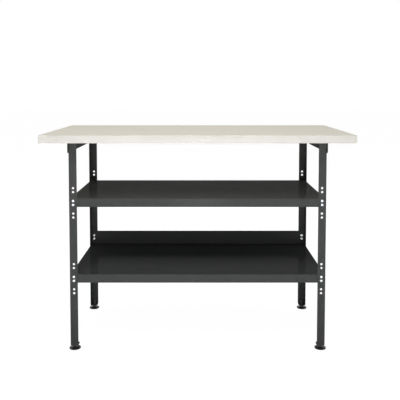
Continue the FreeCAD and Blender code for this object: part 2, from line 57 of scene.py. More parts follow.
CORNERS = {
    f"{end}_{side}": (x, y)
    for end, y in (("front", -1), ("rear", 1))
    for side, x in (("left", -1), ("right", 1))
}
LEG_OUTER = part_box("leg_rear_right")[1]             # outer faces of the legs
RAIL_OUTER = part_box("rail_right")[1].x              # outer faces of the rails
PLATE_LOW, PLATE_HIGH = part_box("foot_plate_rear_right")
BOARD_LOW, BOARD_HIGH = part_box("worktop_board")
LEG_WALL = 0.002
RAIL_WALL = 0.002
LIP = 0.00115                                       # a shelf's lip and its gap to the leg
HOLE_INSET = 0.0165                                 # holes, in from the legs' outer faces
HALF_PAIR = 0.00775                                 # half the distance between paired holes
LOWER, UPPER, UPSTAND = 0.284, 0.584, 0.334         # levels of the shelves' pairs of bolts
RAIL_DROP = 0.022                                   # the rail's bolts, below the board
SCREW_INSET = 0.022                                 # screws, in from the rails' outer faces
SCREW_ROWS = (-0.19, 0.0, 0.19)
FOOT_INSET = 0.015                                  # feet, in from the legs' outer faces
COLLAR_LOW, COLLAR_HIGH = 0.0088, 0.0117            # collar of a levelling screw
SPOT_PITCH, SPOT_ROW = 0.08, 0.027                  # spot welds along and beside a stiffener
SPOT_RADIUS, SPOT_DEPTH = 0.003, 0.0003
GLUE_LINE = 0.0003                                  # width of the joint round the facing

# --------------------------------------------------------------------------------------------
# Constants of the modelling steps.

TINY = 1e-6                                         # two places closer than this are one
BEYOND = 1.005                                      # a cutter just wider than a hexagon
TWIST = 0.9                                         # turn from one fastener to the next
DOWN, UP = Vector((0, 0, -1)), Vector((0, 0, 1))

# --------------------------------------------------------------------------------------------
# Stage. A lamp has a place, a target, a diameter, and whether gloss shows it.

LAMPS = {
    "key": ((-0.45, -2.17, 3.38), (0.0, 0.0, 0.5), 1.8, True),
    "overhead": ((0.0, 0.0, 3.5), (0.0, 0.0, 0.0), 1.4, True),
    "low_front": ((0.0, -2.9, 0.32), (0.0, 0.0, 0.2), 0.6, True),
    "floor_bounce": ((0.0, -1.6, 0.9), (0.0, -2.3, 0.0), 1.4, True),
    "back_fill": ((0.0, 3.0, 0.62), (0.0, 0.0, 0.45), 1.1, False),
}
WHITE = (1.0, 1.0, 1.0, 1.0)
SKY = (0.98, 0.99, 1.0, 1.0)
PAPER = (0.88, 0.88, 0.88, 1.0)                     # the floor, as it lights the table
SHADE = (0.14, 0.14, 0.14, 1.0)                     # the floor's shadows, as they are seen
FLOOR_GLOW = 0.965                                  # the floor's white, as it is seen
FLOOR_SIZE, FLOOR_DROP = 60.0, 0.0002               # its width, and its place below 0
SENSOR = 36.0                                       # width of the sensor, in millimetres
FAR_CLIP = 100.0


# --------------------------------------------------------------------------------------------
# Settings.

def length(name, description, default):
    """A size in metres."""
    return FloatProperty(
        name=name, description=description, default=default, min=0.0, unit="LENGTH", precision=5)


def power(name, description, default):
    """A lamp's power in watts."""
    return FloatProperty(
        name=name, description=description, default=default, min=0.0, unit="POWER")


def colour(name, description, default):
    """A colour without opacity."""
    return FloatVectorProperty(
        name=name, description=description, default=default, min=0.0, max=1.0, size=3,
        subtype="COLOR")


class TableFinishes(bpy.types.PropertyGroup):
    """Colours of the table's finishes, and the rounding of its edge bands."""
    board: colour("Board", "Melamine facing of the worktop", (0.745, 0.703, 0.602))
    band: colour("Edge band", "Plastic band round the worktop", (0.83, 0.812, 0.754))
    arris: length("Arris", "Rounding of the edge bands", 0.0008)
    glue: colour("Glue line", "Joint between the facing and the bands", (0.42, 0.38, 0.3))
    coat: colour("Powder coat", "Coat of the frame and shelves", (0.077, 0.081, 0.0787))
    zinc: colour("Zinc", "Plating of the bolts, nuts and screws", (0.81, 0.82, 0.835))
    oxide: colour("Black oxide", "Finish of the levelling screws", (0.15, 0.15, 0.157))
    plastic: colour("Foot plastic", "Moulded plastic of the foot pads", (0.017, 0.017, 0.018))
    rubber: colour("Sole rubber", "Rubber discs under the feet", (0.012, 0.012, 0.012))


class TableFasteners(bpy.types.PropertyGroup):
    """Sizes of the bolts, nuts and screws."""
    head: length("Head diameter", "Diameter of the button heads", 0.0105)
    head_height: length("Head height", "Height of the button heads", 0.0033)
    crown: length("Crown rounding", "Rounding of the button heads", 0.0021)
    socket: length("Socket", "Hexagon socket, across its flats", 0.004)
    socket_depth: length("Socket depth", "Depth of the hexagon socket", 0.002)
    bolt: length("Bolt thread", "Outer diameter of the bolts' thread", 0.006)
    bolt_pitch: length("Bolt pitch", "Pitch of the bolts' thread", 0.001)
    bolt_length: length("Bolt length", "Length of a bolt under its head", 0.012)
    nut: length("Nut", "Nut, across its flats", 0.010)
    nut_height: length("Nut height", "Thickness of a nut", 0.005)
    screw: length("Screw", "Diameter of the worktop screws", 0.0045)
    screw_length: length("Screw length", "Length of a worktop screw under its head", 0.024)
    screw_head: length("Screw head", "Diameter of the pan heads", 0.009)
    screw_head_height: length("Screw head height", "Height of the pan heads", 0.0025)


class TableFeet(bpy.types.PropertyGroup):
    """Sizes of the levelling feet and of the welds above them."""
    stud: length("Stud thread", "Outer diameter of the levelling screw", 0.010)
    stud_pitch: length("Stud pitch", "Pitch of the levelling screw", 0.0015)
    collar: length("Collar", "Hexagon collar, across its flats", 0.014)
    stud_head: length("Stud head", "Diameter of the head inside the pad", 0.015)
    bead: length("Weld bead", "Width of the weld beads on the foot plates", 0.0036)
    bead_ripple: length("Bead ripple", "Spacing of the ripples along a weld bead", 0.0014)


class TableStage(bpy.types.PropertyGroup):
    """Camera and lamps."""
    camera: FloatVectorProperty(
        name="Camera", description="Place of the camera", default=(0.0093, -2.5496, 1.0341),
        size=3, subtype="TRANSLATION")
    lens: FloatProperty(
        name="Lens", description="Focal length in millimetres", default=54.075, min=1.0)
    tilt: FloatProperty(
        name="Tilt", description="Downward tilt of the camera", default=0.05475,
        unit="ROTATION")
    shift: FloatProperty(
        name="Shift", description="Shift of the view, upwards where it is above 0",
        default=-0.2)
    sky: FloatProperty(
        name="Sky", description="Strength of the even light from all round", default=0.2,
        min=0.0)
    key: power("Key", "Large lamp in front of the table, high up", 33.0)
    overhead: power("Overhead", "Large lamp over the table", 31.5)
    low_front: power("Low front", "Lamp in front of the table, near the floor", 11.0)
    floor_bounce: power(
        "Floor bounce", "Lamp turned away from the table, which lights it off the floor", 48.0)
    back_fill: power("Back fill", "Lamp behind the table", 20.0)


# --------------------------------------------------------------------------------------------
# Shader graphs.

class Value:
    """A socket that carries a number, for use in Python expressions."""

    def __init__(self, graph, socket):
        self.graph = graph
        self.socket = socket

    def _with(self, operation, first, second):
        """What an operation makes of two values."""
        return self.graph.node("ShaderNodeMath", {"operation": operation}, {0: first, 1: second})

    def __add__(self, other):
        return self._with("ADD", self, other)

    __radd__ = __add__

    def __sub__(self, other):
        return self._with("SUBTRACT", self, other)

    def __rsub__(self, other):
        return self._with("SUBTRACT", other, self)

    def __mul__(self, other):
        return self._with("MULTIPLY", self, other)

    __rmul__ = __mul__

    def __gt__(self, other):
        return self._with("GREATER_THAN", self, other)

    def __abs__(self):
        return self.graph.node("ShaderNodeMath", {"operation": "ABSOLUTE"}, {0: self})

    def larger(self, other):
        """The larger of the two."""
        return self._with("MAXIMUM", self, other)

    def off_nearest(self, pitch):
        """How far it is off the nearest multiple of a pitch."""
        return self._with("PINGPONG", self, pitch / 2)


class Graph:
    """The nodes of a material or a world."""

    MIX_A, MIX_B, MIX_RESULT = 6, 7, 2              # the colour sockets of a Mix node
    OBJECT = 3                                      # Object on a Texture Coordinate node

    def __init__(self, owner):
        owner.use_nodes = True
        self.tree = owner.node_tree
        self.tree.nodes.clear()

    def node(self, kind, settings=None, inputs=None, output=0):
        """Add a node: its settings first, then the values or links of its sockets."""
        node = self.tree.nodes.new(kind)
        for name, value in (settings or {}).items():
            setattr(node, name, value)
        for key, value in (inputs or {}).items():
            if isinstance(value, Value):
                self.tree.links.new(value.socket, node.inputs[key])
            else:
                node.inputs[key].default_value = value
        return Value(self, node.outputs[output]) if node.outputs else None

    def place(self, stretch=(1.0, 1.0, 1.0)):
        """Place on the object in metres, stretched."""
        coordinates = self.node("ShaderNodeTexCoord", output=self.OBJECT)
        return self.node("ShaderNodeMapping", None, {"Vector": coordinates, "Scale": stretch})

    def axis(self, name):
        """One coordinate of the place on the object."""
        coordinates = self.node("ShaderNodeTexCoord", output=self.OBJECT)
        return self.node("ShaderNodeSeparateXYZ", None, {0: coordinates}, "XYZ".index(name))

    def noise(self, scale, stretch=(1.0, 1.0, 1.0), detail=2.0, roughness=0.5):
        """Soft noise round 0.5, with so many features to the metre."""
        return self.node("ShaderNodeTexNoise", None, {
            "Vector": self.place(stretch), "Scale": scale, "Detail": detail,
            "Roughness": roughness,
        })

    def mix(self, share, first, second):
        """From the first colour to the second."""
        sockets = {0: share, self.MIX_A: first, self.MIX_B: second}
        settings = {"data_type": "RGBA", "clamp_factor": True}
        return self.node("ShaderNodeMix", settings, sockets, self.MIX_RESULT)

    def bump(self, height, depth, strength=1.0):
        """A surface raised by a height, times a depth in metres."""
        return self.node("ShaderNodeBump", None, {
            "Height": height, "Distance": depth, "Strength": strength,
        })

    def surface(self, sockets):
        """Give the material a Principled surface with these sockets."""
        surface = self.node("ShaderNodeBsdfPrincipled", None, sockets)
        self.node("ShaderNodeOutputMaterial", None, {"Surface": surface})


def tint(base, share):
    """A colour made lighter or darker, opaque."""
    return (*[min(part * share, 1.0) for part in base], 1.0)


def face_board(finish, settings):
    """Melamine facing: a light wood print in fine streaks, and a glue line along the bands."""
    streaks = finish.noise(1.0, stretch=(1.6, 210.0, 210.0), detail=4.0, roughness=0.65)
    clouds = finish.noise(3.0, stretch=(1.0, 2.5, 1.0), detail=3.0)
    share = (streaks - 0.5) * 1.6 + (clouds - 0.5) * 0.9 + 0.5
    face = finish.mix(share, tint(settings.board, 0.965), tint(settings.board, 1.03))
    beyond_x = abs(finish.axis("X")) > BOARD_HIGH.x - GLUE_LINE
    beyond_y = abs(finish.axis("Y")) > BOARD_HIGH.y - GLUE_LINE
    face = finish.mix(beyond_x.larger(beyond_y), face, tint(settings.glue, 1.0))
    grain = finish.noise(1.0, stretch=(60.0, 1500.0, 1500.0))
    finish.surface({
        "Base Color": face,
        "Roughness": 0.46 + (streaks - 0.5) * 0.12,
        "Specular IOR Level": 0.01,
        "Normal": finish.bump(grain, 0.00004, 0.5),
    })


def face_band(finish, settings):
    """Edge band: smooth extruded plastic with faint lines along it."""
    lines = finish.noise(1.0, stretch=(2.0, 2.0, 900.0))
    mottle = finish.noise(6.0, detail=3.0)
    share = (lines - 0.5) * 0.8 + (mottle - 0.5) * 0.8 + 0.5
    finish.surface({
        "Base Color": finish.mix(share, tint(settings.band, 0.975), tint(settings.band, 1.02)),
        "Roughness": 0.4 + (mottle - 0.5) * 0.15,
        "Specular IOR Level": 0.15,
        "Normal": finish.bump(lines, 0.00002, 0.6),
    })


def powder_coat(finish, settings, relief=0.0):
    """Powder coat: fine orange peel, a little uneven in colour, over a relief in metres."""
    peel = finish.noise(650.0, detail=3.0, roughness=0.6)
    speckle = finish.noise(2400.0, detail=1.0)
    mottle = finish.noise(14.0, detail=3.0)
    share = (mottle - 0.5) * 0.6 + (speckle - 0.5) * 1.6 + (peel - 0.5) * 0.6 + 0.5
    finish.surface({
        "Base Color": finish.mix(share, tint(settings.coat, 0.86), tint(settings.coat, 1.14)),
        "Roughness": 0.4 + (mottle - 0.5) * 0.1,
        "Specular IOR Level": 0.0,
        "Coat Weight": 0.042,
        "Coat Roughness": 0.12,
        "Normal": finish.bump((peel * 0.75 + speckle * 0.25) * 0.00005 + relief, 1.0),
    })


def spot_welded_coat(finish, settings):
    """Powder coat over a stiffener, with a row of spot welds along each brim."""
    along = finish.axis("X").off_nearest(SPOT_PITCH)
    across = abs(finish.axis("Y")) - SPOT_ROW
    dimple = (1 - (along * along + across * across) * (1 / SPOT_RADIUS**2)).larger(0.0)
    powder_coat(finish, settings, dimple * -SPOT_DEPTH)


def zinc_plate(finish, settings):
    """Bright zinc plate with a faint cloudy sheen."""
    clouds = finish.noise(420.0, detail=3.0)
    grain = finish.noise(3500.0, detail=1.0)
    cool = (settings.zinc[0] * 0.93, settings.zinc[1] * 0.96, settings.zinc[2], 1.0)
    finish.surface({
        "Base Color": finish.mix(clouds, cool, tint(settings.zinc, 1.03)),
        "Metallic": 1.0,
        "Roughness": 0.26 + (clouds - 0.5) * 0.16,
        "Normal": finish.bump(grain, 0.00001, 0.5),
    })


def black_oxide(finish, settings):
    """Black oxide on steel, a little oily."""
    clouds = finish.noise(260.0, detail=4.0)
    finish.surface({
        "Base Color": finish.mix(clouds, tint(settings.oxide, 0.7), tint(settings.oxide, 1.4)),
        "Metallic": 0.85,
        "Roughness": 0.34 + (clouds - 0.5) * 0.2,
        "Normal": finish.bump(clouds, 0.00003, 0.4),
    })


def foot_plastic(finish, settings):
    """Moulded plastic with a fine spark-eroded grain."""
    grain = finish.noise(2200.0)
    mottle = finish.noise(70.0)
    dark, light = tint(settings.plastic, 0.85), tint(settings.plastic, 1.2)
    finish.surface({
        "Base Color": finish.mix(mottle, dark, light),
        "Roughness": 0.36 + (mottle - 0.5) * 0.12,
        "Specular IOR Level": 0.3,
        "Normal": finish.bump(grain, 0.00004, 0.45),
    })


def sole_rubber(finish, settings):
    """Matt rubber with a coarse moulded grain."""
    grain = finish.noise(900.0, detail=3.0)
    finish.surface({
        "Base Color": finish.mix(grain, tint(settings.rubber, 0.8), tint(settings.rubber, 1.4)),
        "Roughness": 0.78 + (grain - 0.5) * 0.2,
        "Normal": finish.bump(grain, 0.00015, 0.6),
    })


FINISHES = {
    "board_facing": face_board,
    "edge_band": face_band,
    "powder_coat": powder_coat,
    "spot_welded_coat": spot_welded_coat,
    "zinc_plate": zinc_plate,
    "black_oxide": black_oxide,
    "foot_plastic": foot_plastic,
    "sole_rubber": sole_rubber,
}


def finish_of(name):
    """A finish by its name, made when it is first asked for."""
    material = bpy.data.materials.get(f"table_{name}")
    if material is None:
        material = bpy.data.materials.new(f"table_{name}")
        FINISHES[name](Graph(material), bpy.context.scene.table_finishes)
    return material


def coat_nodes(finish, *names):
    """Give nodes of the frame a finish."""
    for name in names:
        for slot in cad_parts[name].material_slots:
            slot.material = finish_of(finish)


# --------------------------------------------------------------------------------------------
# Modelling steps.

def select_only(*pieces):
    """Select these objects and nothing else."""
    bpy.ops.object.select_all(action="DESELECT")
    for piece in pieces:
        piece.select_set(True)
    bpy.context.view_layer.objects.active = pieces[0]


def edit():
    """Open the active object to editing."""
    bpy.ops.object.mode_set(mode="EDIT")


def leave_edit():
    """Close the active object to editing."""
    bpy.ops.object.mode_set(mode="OBJECT")


def pick(kind, wanted):
    """In edit mode, select the verts, edges or faces that are wanted and nothing else."""
    bpy.ops.mesh.select_mode(type={"verts": "VERT", "edges": "EDGE", "faces": "FACE"}[kind])
    bpy.ops.mesh.select_all(action="DESELECT")
    mesh = bpy.context.edit_object.data
    shape = bmesh.from_edit_mesh(mesh)
    found = [element for element in getattr(shape, kind) if wanted(element)]
    if not found:
        raise RuntimeError(f"no {kind} to select on {bpy.context.edit_object.name}")
    for element in found:
        element.select = True
    shape.select_flush_mode()
    bmesh.update_edit_mesh(mesh)


def is_along(edge, axis):
    """Whether an edge runs along an axis."""
    way = edge.verts[1].co - edge.verts[0].co
    return abs(abs(way[axis]) - way.length) < TINY


def face_at(height):
    """A test for faces that are level and at a height."""
    def wanted(face):
        return abs(face.calc_center_median().z - height) < TINY and abs(face.normal.z) > 0.99
    return wanted


def rim_at(height):
    """A test for edges that lie level at a height."""
    return lambda edge: all(abs(vertex.co.z - height) < TINY for vertex in edge.verts)


def settle(name):
    """Name the active object, and put its place, turn and scale into its mesh."""
    piece = bpy.context.object
    piece.name = name
    bpy.ops.object.transform_apply(location=True, rotation=True, scale=True)
    return piece


def add_round(name, radius, low, high, sides=32):
    """A cylinder from a low to a high place on the Z axis, to be edited further."""
    bpy.ops.object.select_all(action="DESELECT")
    bpy.ops.mesh.primitive_cylinder_add(
        vertices=sides, radius=radius, depth=high - low, location=(0, 0, (low + high) / 2))
    return settle(name)


def add_block(name, low, high):
    """A block between two corners, to be edited further."""
    low, high = Vector(low), Vector(high)
    bpy.ops.object.select_all(action="DESELECT")
    bpy.ops.mesh.primitive_cube_add(size=1, location=(low + high) / 2, scale=high - low)
    return settle(name)


def widen(share):
    """Scale what is selected about the Z axis, but not along it."""
    bpy.ops.transform.resize(value=(share, share, 1), center_override=(0, 0, 0))


def step(height, share=1.0):
    """Extrude the selected level face by a height, and scale it about the Z axis."""
    bpy.ops.mesh.extrude_region_move(TRANSFORM_OT_translate={"value": (0, 0, height)})
    if share != 1.0:
        widen(share)


def carve(piece, tool, operation="DIFFERENCE"):
    """Cut the piece with a tool, or keep what they share or join them, and remove the tool."""
    select_only(piece)
    cut = piece.modifiers.new("carve", "BOOLEAN")
    cut.operation = operation
    cut.solver = "EXACT"
    cut.object = tool
    bpy.ops.object.modifier_apply(modifier=cut.name)
    bpy.data.objects.remove(tool)


def soften(piece, width, segments=2, angle=35.0):
    """Round the piece's edges that are sharper than an angle in degrees."""
    select_only(piece)
    rounding = piece.modifiers.new("soften", "BEVEL")
    rounding.width = width
    rounding.segments = segments
    rounding.limit_method = "ANGLE"
    rounding.angle_limit = math.radians(angle)
    bpy.ops.object.modifier_apply(modifier=rounding.name)


def close(piece):
    """Merge doubles and point the faces outwards."""
    select_only(piece)
    edit()
    bpy.ops.mesh.select_all(action="SELECT")
    bpy.ops.mesh.remove_doubles(threshold=TINY)
    bpy.ops.mesh.normals_make_consistent(inside=False)
    leave_edit()
    return piece


def smooth(piece, angle):
    """Smooth shading up to an angle in degrees between faces."""
    select_only(piece)
    bpy.ops.object.shade_smooth_by_angle(angle=math.radians(angle))
    return piece


def add_hexagon(name, across, low, high, chamfer, share):
    """A hexagonal prism on the Z axis, whose corners a cone cuts off at each end.

    A cone is as high as the chamfer, and narrows to a share of its width.
    """
    reach = across / math.sqrt(3)
    prism = add_round(name, reach, low, high, 6)
    cones = add_round("cones", reach * BEYOND, low + chamfer, high - chamfer, 36)
    edit()
    pick("faces", face_at(high - chamfer))
    step(chamfer, share)
    pick("faces", face_at(low + chamfer))
    step(-chamfer, share)
    leave_edit()
    carve(prism, cones, "INTERSECT")
    return prism


def add_thread(name, radius, pitch, low, high, steps):
    """A threaded rod: a toothed line screwed round the Z axis and cut square at both ends."""
    depth = 0.6 * pitch
    spare = 4                                       # teeth past the ends, to be cut off
    teeth = math.ceil((high - low) / pitch) + spare
    span = teeth * pitch
    start = (low + high - span) / 2
    bpy.ops.object.select_all(action="DESELECT")
    bpy.ops.mesh.primitive_plane_add(
        size=span, rotation=(math.pi / 2, 0, 0),
        location=(radius - depth - span / 2, 0, start + span / 2))
    piece = settle(name)
    edit()
    pick("verts", lambda vertex: vertex.co.x < radius - depth - TINY)
    bpy.ops.mesh.delete(type="VERT")
    bpy.ops.mesh.select_all(action="SELECT")
    bpy.ops.mesh.subdivide(number_cuts=2 * teeth - 1)
    pick("verts", lambda vertex: round((vertex.co.z - start) / pitch * 2) % 2 == 1)
    bpy.ops.transform.translate(value=(depth, 0, 0))
    leave_edit()
    turn = piece.modifiers.new("thread", "SCREW")
    turn.axis = "Z"
    turn.angle = math.tau
    turn.screw_offset = pitch
    turn.steps = steps
    turn.render_steps = steps
    bpy.ops.object.modifier_apply(modifier=turn.name)
    edit()
    bpy.ops.mesh.select_all(action="SELECT")
    bpy.ops.mesh.remove_doubles(threshold=pitch / 50)
    for height, normal in ((low, DOWN), (high, UP)):
        bpy.ops.mesh.select_all(action="SELECT")
        bpy.ops.mesh.bisect(
            plane_co=(0, 0, height), plane_no=normal, use_fill=True, clear_outer=True,
            threshold=TINY)
    leave_edit()
    return close(piece)


def copies(master, name, spots):
    """Copies of a piece in one mesh, each turned from -Z to its direction, at its spot."""
    made = []
    for index, (spot, direction) in enumerate(spots):
        select_only(master)
        bpy.ops.object.duplicate(linked=False)
        copy = bpy.context.object
        twist = Matrix.Rotation(index * TWIST, 4, "Z")
        turned = DOWN.rotation_difference(Vector(direction)).to_matrix().to_4x4()
        copy.matrix_world = Matrix.Translation(spot) @ turned @ twist
        bpy.ops.object.transform_apply(location=True, rotation=True, scale=True)
        made.append(copy)
    select_only(*made)
    bpy.ops.object.join()
    piece = bpy.context.object
    piece.name = name
    return piece


def fit(piece, body, slot, *nodes):
    """Give a finished piece its material, its body and the nodes that it stands for."""
    piece.data.materials.clear()
    piece.data.materials.append(finish_of(slot))
    if nodes:
        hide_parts(*nodes)
    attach(piece, body)


def fit_fasteners(master, places):
    """Put a fastener in the places of each of its nodes."""
    for node, spots in places.items():
        fit(copies(master, f"{node}_detailed", spots), "frame", "zinc_plate", node)
    bpy.data.objects.remove(master)


def fit_feet(master, part, body, slot):
    """Put an upright part of the feet in each corner, on that corner's own body."""
    for corner, (x, y) in CORNERS.items():
        node = f"foot_{part}_{corner}"
        select_only(master)
        bpy.ops.object.duplicate(linked=False)
        bpy.context.object.location = (
            (LEG_OUTER.x - FOOT_INSET) * x, (LEG_OUTER.y - FOOT_INSET) * y, 0)
        fit(settle(f"{node}_detailed"), f"{body}_{corner}", slot, node)
    bpy.data.objects.remove(master)


# --------------------------------------------------------------------------------------------
# Spots of the fasteners: a point on the face that the piece bears on, and the way inward.

def pair(x, y, level, direction):
    """The two spots of a pair of holes."""
    return [(Vector((x, y, level + part)), direction) for part in (-HALF_PAIR, HALF_PAIR)]


def shelf_spots(level, rear_level, inset):
    """Spots round a shelf, an inset inside the legs' outer faces."""
    x, y = LEG_OUTER.x, LEG_OUTER.y
    spots = []
    for side in (-1, 1):
        spots += pair((x - HOLE_INSET) * side, inset - y, level, (0, 1, 0))
        spots += pair((x - HOLE_INSET) * side, y - inset, rear_level, (0, -1, 0))
        for end in (-1, 1):
            spots += pair((x - inset) * side, (y - HOLE_INSET) * end, level, (-side, 0, 0))
    return spots


def rail_spots(inset):
    """Spots on the ends of the rails, an inset inside the rails' outer faces."""
    level = BOARD_LOW.z - RAIL_DROP
    spots = []
    for x, y in CORNERS.values():
        spots += pair(
            (RAIL_OUTER - inset) * x, (LEG_OUTER.y - HOLE_INSET) * y, level, (-x, 0, 0))
    return spots


# --------------------------------------------------------------------------------------------
# Operators.

class TABLE_OT_worktop(bpy.types.Operator):
    """Face the board"""
    bl_idname = "table.worktop"
    bl_label = "Worktop"
    bl_options = {"REGISTER", "UNDO"}

    def execute(self, context):
        coat_nodes("board_facing", "worktop_board")
        return {"FINISHED"}


class TABLE_OT_bands(bpy.types.Operator):
    """Edge bands with rounded arrises"""
    bl_idname = "table.bands"
    bl_label = "Edge bands"
    bl_options = {"REGISTER", "UNDO"}

    def make_band(self, name, arris, inner, wanted):
        """A band with the wanted edges rounded, apart from those on its inner face."""
        axis, place = inner
        band = add_block(f"{name}_rounded", *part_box(name))
        edit()
        pick("edges", lambda edge: wanted(edge) and any(
            abs(abs(vertex.co[axis]) - place) > TINY for vertex in edge.verts))
        bpy.ops.mesh.bevel(offset=arris, segments=3, affect="EDGES")
        leave_edit()
        fit(smooth(close(band), angle=40.0), "frame", "edge_band", name)

    def execute(self, context):
        arris = context.scene.table_finishes.arris
        x, y = 0, 1
        for end in ("front", "rear"):
            self.make_band(f"edge_band_{end}", arris, (y, BOARD_HIGH.y), lambda edge: True)
        for side in ("left", "right"):
            self.make_band(
                f"edge_band_{side}", arris, (x, BOARD_HIGH.x), lambda edge: is_along(edge, y))
        return {"FINISHED"}


class TABLE_OT_frame(bpy.types.Operator):
    """Coat the legs, rails, foot plates and welded nuts"""
    bl_idname = "table.frame"
    bl_label = "Frame"
    bl_options = {"REGISTER", "UNDO"}

    def execute(self, context):
        coat_nodes("powder_coat", "rail_left", "rail_right")
        for corner in CORNERS:
            coat_nodes(
                "powder_coat", f"leg_{corner}", f"foot_plate_{corner}", f"foot_nut_{corner}")
        return {"FINISHED"}


class TABLE_OT_welds(bpy.types.Operator):
    """Rippled weld beads where the foot plates meet the legs"""
    bl_idname = "table.welds"
    bl_label = "Weld beads"
    bl_options = {"REGISTER", "UNDO"}

    def make_bead(self, size):
        """A bead along the Z axis, with its middle at 0."""
        covered = 0.74                              # share of a plate's side
        ripple_share, end_share = 1.16, 0.5         # widths at the ripples and at the ends
        half = (PLATE_HIGH.x - PLATE_LOW.x) * covered / 2
        ripples = round(half * 2 / size.bead_ripple)
        bead = add_round("bead", size.bead / 2, -half, half, 10)
        edit()
        pick("edges", lambda edge: is_along(edge, 2))
        bpy.ops.mesh.subdivide(number_cuts=2 * ripples - 1)
        pick("verts", lambda vertex: round((vertex.co.z + half) / half * ripples) % 2 == 1)
        widen(ripple_share)
        for end in (-half, half):
            pick("verts", lambda vertex: abs(vertex.co.z - end) < TINY)
            widen(end_share)
        leave_edit()
        return smooth(close(bead), angle=60.0)

    def execute(self, context):
        inner = PLATE_HIGH.xy
        centre = (PLATE_HIGH.xy + PLATE_LOW.xy) / 2
        spots = []
        for x, y in CORNERS.values():
            spots.append((Vector((inner.x * x, centre.y * y, PLATE_HIGH.z)), (0, 1, 0)))
            spots.append((Vector((centre.x * x, inner.y * y, PLATE_HIGH.z)), (1, 0, 0)))
        bead = self.make_bead(context.scene.table_feet)
        fit(copies(bead, "weld_beads", spots), "frame", "powder_coat")
        bpy.data.objects.remove(bead)
        return {"FINISHED"}


class TABLE_OT_shelves(bpy.types.Operator):
    """Coat the shelves and their spot-welded stiffeners"""
    bl_idname = "table.shelves"
    bl_label = "Shelves"
    bl_options = {"REGISTER", "UNDO"}

    def execute(self, context):
        coat_nodes("powder_coat", "upper_shelf", "lower_shelf")
        coat_nodes("spot_welded_coat", "upper_shelf_stiffener", "lower_shelf_stiffener")
        return {"FINISHED"}


class TABLE_OT_bolts(bpy.types.Operator):
    """Button-head bolts with hexagon sockets and cut threads"""
    bl_idname = "table.bolts"
    bl_label = "Bolts"
    bl_options = {"REGISTER", "UNDO"}

    def make_bolt(self, size):
        """A bolt that points down, with the underside of its head at 0."""
        top = size.head_height
        bolt = add_round("bolt", size.head / 2, 0, top, 36)
        edit()
        pick("edges", rim_at(top))
        bpy.ops.mesh.bevel(offset=size.crown, segments=5, profile=0.58, affect="EDGES")
        leave_edit()
        socket_corner = size.socket / math.sqrt(3)
        carve(bolt, add_round("socket", socket_corner, top - size.socket_depth, top * 2, 6))
        soften(bolt, width=0.00012, segments=1, angle=50.0)
        inside_head = size.socket_depth / 4
        shank = add_thread(
            "shank", size.bolt / 2, size.bolt_pitch, -size.bolt_length, inside_head, 14)
        carve(bolt, shank, "UNION")
        return smooth(close(bolt), angle=28.0)

    def execute(self, context):
        fit_fasteners(self.make_bolt(context.scene.table_fasteners), {
            "upper_shelf_bolts": shelf_spots(UPPER, UPPER, 0),
            "lower_shelf_bolts": shelf_spots(LOWER, UPSTAND, 0),
            "rail_bolts": rail_spots(0),
        })
        return {"FINISHED"}


class TABLE_OT_nuts(bpy.types.Operator):
    """Hexagon nuts with chamfered corners and countersunk bores"""
    bl_idname = "table.nuts"
    bl_label = "Nuts"
    bl_options = {"REGISTER", "UNDO"}

    def make_nut(self, size):
        """A nut whose upper face, the one it bears with, is at 0."""
        low, high = -size.nut_height, 0
        chamfer = size.nut_height * 0.09
        face = 0.96 * math.sqrt(3) / 2              # radius of its end faces, of its corners'
        bore, mouth = size.bolt / 2 * 0.95, size.bolt / 2 * 1.1
        mouth_depth, mouth_share = 0.0004, 0.85
        past_face = 0.001                           # how far the cutter stands out of the nut
        nut = add_hexagon("nut", size.nut, low, high, chamfer, face / BEYOND)
        carve(nut, add_round("bore", bore, low * 2, size.nut_height, 24))
        for height, way in ((high, 1), (low, -1)):
            ends = sorted((height, height + past_face * way))
            sink = add_round("sink", mouth, *ends, 24)
            edit()
            pick("faces", face_at(height))
            step(-mouth_depth * way, mouth_share)
            leave_edit()
            carve(nut, close(sink))
        return smooth(close(nut), angle=25.0)

    def execute(self, context):
        inside_lip = LEG_WALL + LIP
        fit_fasteners(self.make_nut(context.scene.table_fasteners), {
            "upper_shelf_nuts": shelf_spots(UPPER, UPPER, inside_lip),
            "lower_shelf_nuts": shelf_spots(LOWER, UPSTAND, inside_lip),
            "rail_nuts": rail_spots(RAIL_WALL + LEG_WALL),
        })
        return {"FINISHED"}


class TABLE_OT_screws(bpy.types.Operator):
    """Pan-head screws with cross recesses, up into the board"""
    bl_idname = "table.screws"
    bl_label = "Worktop screws"
    bl_options = {"REGISTER", "UNDO"}

    def make_screw(self, size):
        """A screw that points down, with the underside of its head at 0."""
        top = size.screw_head_height
        screw = add_round("screw", size.screw_head / 2, 0, top, 32)
        edit()
        pick("edges", rim_at(top))
        bpy.ops.mesh.bevel(offset=top * 0.6, segments=4, affect="EDGES")
        leave_edit()
        long, short = size.screw_head * 0.25, size.screw_head * 0.05
        recess_floor, floor_share = top * 0.35, 0.45
        for x, y in ((long, short), (short, long)):
            wing = add_block("wing", (-x, -y, recess_floor), (x, y, top * 1.5))
            edit()
            pick("faces", face_at(recess_floor))
            widen(floor_share)
            leave_edit()
            carve(screw, wing)
        pitch, inside_head = 0.0016, top * 0.2
        room, point, point_share = 0.003, 0.0028, 0.15      # the point, and the room for it
        thread_end = room - size.screw_length
        shank = add_thread("shank", size.screw / 2, pitch, thread_end, inside_head, 14)
        edit()
        pick("faces", face_at(thread_end))
        step(-point, point_share)
        leave_edit()
        carve(screw, shank, "UNION")
        return smooth(close(screw), angle=28.0)

    def execute(self, context):
        underside = BOARD_LOW.z - RAIL_WALL
        fit_fasteners(self.make_screw(context.scene.table_fasteners), {
            "worktop_screws": [
                (Vector(((RAIL_OUTER - SCREW_INSET) * side, row, underside)), (0, 0, 1))
                for side in (-1, 1) for row in SCREW_ROWS
            ],
        })
        return {"FINISHED"}


